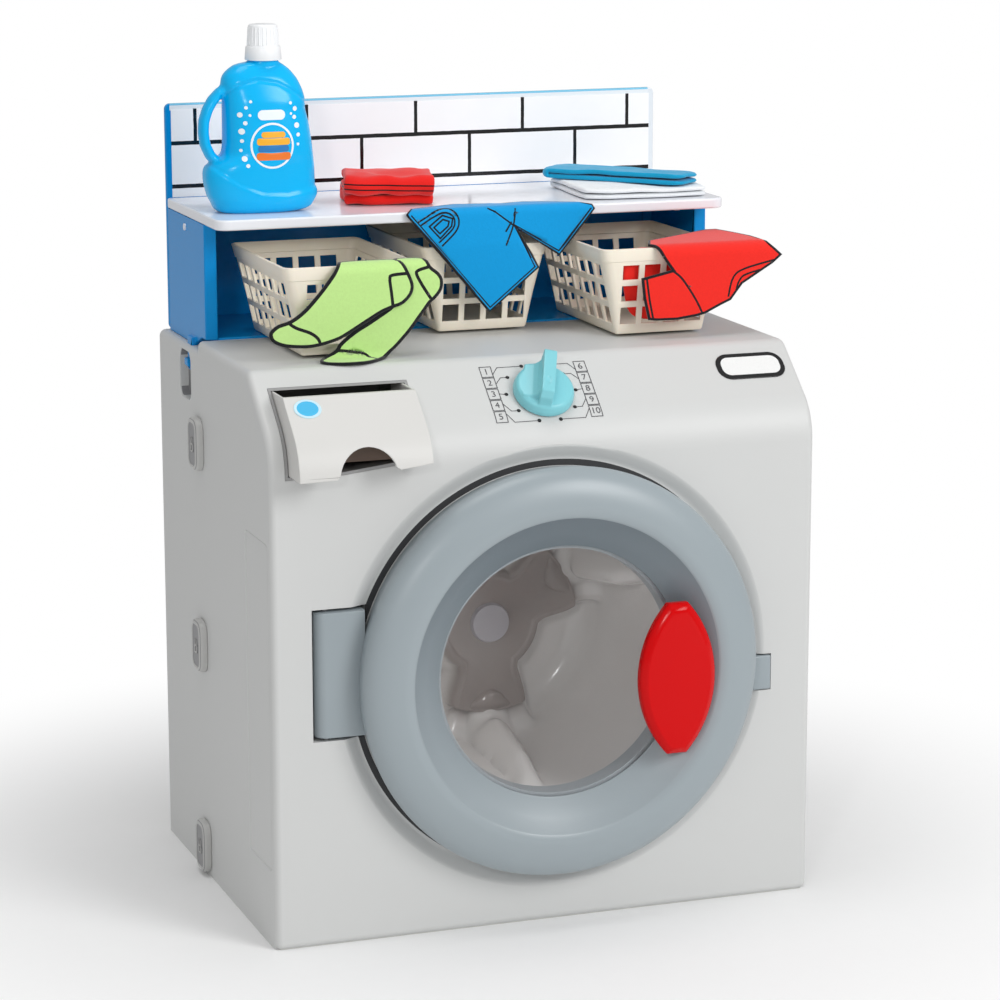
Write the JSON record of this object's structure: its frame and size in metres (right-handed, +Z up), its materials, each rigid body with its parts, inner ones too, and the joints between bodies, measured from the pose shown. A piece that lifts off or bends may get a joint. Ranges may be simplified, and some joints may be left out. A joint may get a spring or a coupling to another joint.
{
  "type": "toy washing machine",
  "caption": "Toy washing machine with a hinged round door, turning drum, detergent drawer, dial, shelf unit with tiled back, lattice baskets, felt laundry and a bottle.",
  "frame": {"origin": "middle of the cabinet's underside on the floor", "axes": "+X is the viewer's right, +Y points from the door to the back, +Z is up"},
  "size_m": [0.499, 0.3961, 0.7438],
  "materials": {
    "body": "satin",
    "liner": "satin",
    "door": "satin",
    "window": "clear",
    "handle": "gloss",
    "drum": "gloss",
    "steel": "satin",
    "aqua": "satin",
    "dark": "matt",
    "circuit": "satin",
    "badge": "gloss",
    "badge_blue": "gloss",
    "cells": "gloss",
    "blue": "gloss",
    "tiles": "gloss",
    "shelf": "gloss",
    "basket": "satin",
    "bottle": "gloss",
    "cap": "satin",
    "felt_red": "matt",
    "felt_white": "matt",
    "felt_turquoise": "matt",
    "felt_green": "matt",
    "felt_blue": "matt"
  },
  "bodies": {
    "cabinet": {"cabinet_shell": "body", "rear_cover": "liner", "base_panel": "liner", "side_clips": "body", "drawer_housing": "liner", "tub_housing": "liner", "tub_screws": "steel", "hinge_pins": "steel", "latch_catch": "liner", "dial_marks": "dark", "rotary_switch": "dark", "sound_box": "liner", "circuit_board": "circuit", "speaker": "dark", "front_badge": "badge", "battery_box": "liner", "battery_cells": "cells", "battery_door": "liner", "battery_screw": "steel", "unit_base": "blue", "unit_side_left": "blue", "unit_side_right": "blue", "back_panel": "blue", "tile_panel": "tiles", "shelf_board": "shelf", "shelf_rivets": "badge"},
    "door": {"door_ring": "door", "door_back_ring": "door", "door_window": "window", "door_handle": "handle", "door_screws": "steel"},
    "drum": {"drum": "drum", "drum_hub_cap": "drum", "drum_axle": "steel", "axle_retainer": "steel"},
    "dial": {"dial_knob": "aqua", "dial_shaft": "dark"},
    "drawer": {"drawer_front": "body", "drawer_tray": "liner", "drawer_badge": "badge_blue"},
    "left_basket": {"basket_left": "basket", "sock_front": "felt_green", "sock_rear": "felt_green"},
    "middle_basket": {"basket_middle": "basket", "trousers": "felt_blue"},
    "right_basket": {"basket_right": "basket", "tshirt": "felt_red"},
    "bottle": {"bottle": "bottle", "bottle_label": "badge"},
    "bottle_cap": {"bottle_cap": "cap"},
    "red_cloth": {"folded_red": "felt_red"},
    "white_cloth": {"folded_white": "felt_white"},
    "turquoise_cloth": {"folded_turquoise": "felt_turquoise"}
  },
  "joints": [
    {"name": "door_hinge", "type": "hinge", "parent": "cabinet", "child": "door", "pos_m": [-0.193, -0.169, 0.232], "axis": [0, 0, -1], "range_deg": [0, 100]},
    {"name": "drum_spin", "type": "hinge", "parent": "cabinet", "child": "drum", "pos_m": [0.0055, 0, 0.2205], "axis": [0, 1, 0], "continuous": true},
    {"name": "dial_turn", "type": "hinge", "parent": "cabinet", "child": "dial", "pos_m": [0.0055, -0.14532, 0.44804], "axis": [0, -0.6428, 0.766], "continuous": true},
    {"name": "drawer_slide", "type": "slide", "parent": "cabinet", "child": "drawer", "axis": [0, -1, 0], "range_m": [-0.0295, 0.065]},
    {"name": "left_basket_slide", "type": "slide", "parent": "cabinet", "child": "left_basket", "axis": [0, -1, 0], "range_m": [-0.06, 0.025]},
    {"name": "middle_basket_slide", "type": "slide", "parent": "cabinet", "child": "middle_basket", "axis": [0, -1, 0], "range_m": [0, 0.11]},
    {"name": "right_basket_slide", "type": "slide", "parent": "cabinet", "child": "right_basket", "axis": [0, -1, 0], "range_m": [-0.02, 0.04]},
    {"name": "bottle_lift", "type": "slide", "parent": "cabinet", "child": "bottle", "axis": [0, 0, 1], "range_m": [0, 0.12]},
    {"name": "bottle_cap_lift", "type": "slide", "parent": "bottle", "child": "bottle_cap", "axis": [0, 0, 1], "range_m": [0, 0.04]},
    {"name": "red_cloth_lift", "type": "slide", "parent": "cabinet", "child": "red_cloth", "axis": [0, 0, 1], "range_m": [0, 0.1]},
    {"name": "white_cloth_lift", "type": "slide", "parent": "cabinet", "child": "white_cloth", "axis": [0, 0, 1], "range_m": [0, 0.1]},
    {"name": "turquoise_cloth_lift", "type": "slide", "parent": "white_cloth", "child": "turquoise_cloth", "axis": [0, 0, 1], "range_m": [0, 0.06]}
  ]
}
